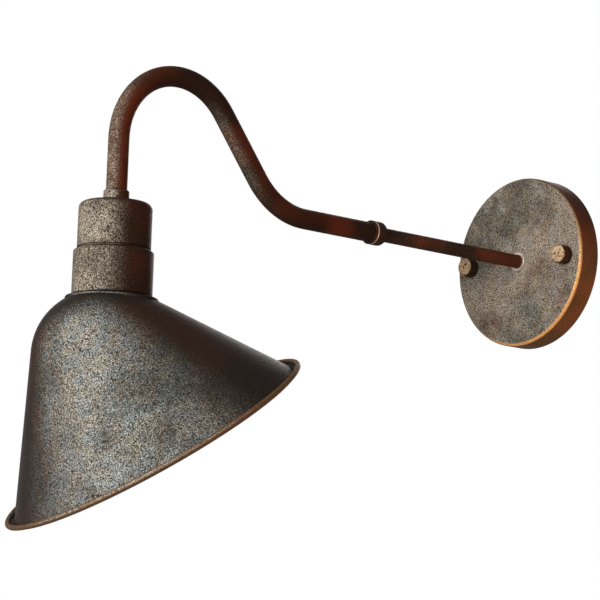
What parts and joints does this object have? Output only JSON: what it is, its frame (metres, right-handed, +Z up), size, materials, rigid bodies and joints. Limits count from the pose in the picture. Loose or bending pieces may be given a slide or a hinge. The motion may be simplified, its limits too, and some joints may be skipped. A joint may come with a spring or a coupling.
{
  "type": "gooseneck wall sconce",
  "caption": "Wall lamp with a round canopy, a straight rod, a bent gooseneck tube and an angled cone shade that swivels about its socket.",
  "frame": {"origin": "centre of the canopy's back, on the wall plane", "axes": "+Z up, the arm reaches out from the wall along -Y, +X to the right of someone who faces the wall"},
  "size_m": [0.2206, 0.4539, 0.3229],
  "materials": {
    "antique_bronze": "antique rust bronze, semi-gloss",
    "bright_bronze": "rubbed bronze",
    "zinc_steel": "zinc plated",
    "contact_brass": "plain",
    "nylon": "satin",
    "gasket_rubber": "matt",
    "porcelain": "glazed",
    "black_glass": "gloss",
    "lamp_cap_metal": "satin",
    "opal_glass": "opal",
    "flex_sheath": "matt",
    "brown_core": "satin",
    "blue_core": "satin",
    "green_core": "satin"
  },
  "bodies": {
    "fixture": {"wall_bracket": "zinc_steel", "bracket_studs": "zinc_steel", "stud_nuts": "zinc_steel", "canopy": "antique_bronze", "cap_nuts": "bright_bronze", "earth_screw": "contact_brass", "terminal_block": "nylon", "terminal_inserts": "contact_brass", "terminal_screws": "contact_brass", "block_screw": "zinc_steel", "rod_ferrule": "bright_bronze", "canopy_washer": "zinc_steel", "canopy_nut": "zinc_steel", "wall_rod": "antique_bronze", "coupler_nut": "antique_bronze", "coupler_ring": "bright_bronze", "coupler_collar": "antique_bronze", "neck_collar": "antique_bronze", "gooseneck_tube": "antique_bronze", "head_nipple": "zinc_steel", "cable_bushes": "nylon", "socket_cup": "antique_bronze", "head_washer": "zinc_steel", "head_nuts": "zinc_steel", "shade_fitter": "antique_bronze", "shade_gasket": "gasket_rubber", "clamp_ring": "bright_bronze", "holder_strap": "zinc_steel", "holder_screws": "zinc_steel", "lampholder_body": "porcelain", "holder_terminals": "contact_brass", "holder_terminal_screws": "contact_brass", "screw_shell": "contact_brass", "centre_contact": "contact_brass", "lamp_contact": "contact_brass", "lamp_insulator": "black_glass", "lamp_cap": "lamp_cap_metal", "lamp_globe": "opal_glass", "lamp_flex": "flex_sheath", "live_core": "brown_core", "neutral_core": "blue_core", "earth_core": "green_core"},
    "shade": {"shade": "antique_bronze"}
  },
  "joints": [
    {"name": "shade_turn", "type": "hinge", "parent": "fixture", "child": "shade", "pos_m": [0, -0.395, -0.0775], "axis": [0, 0, 1], "continuous": true}
  ]
}
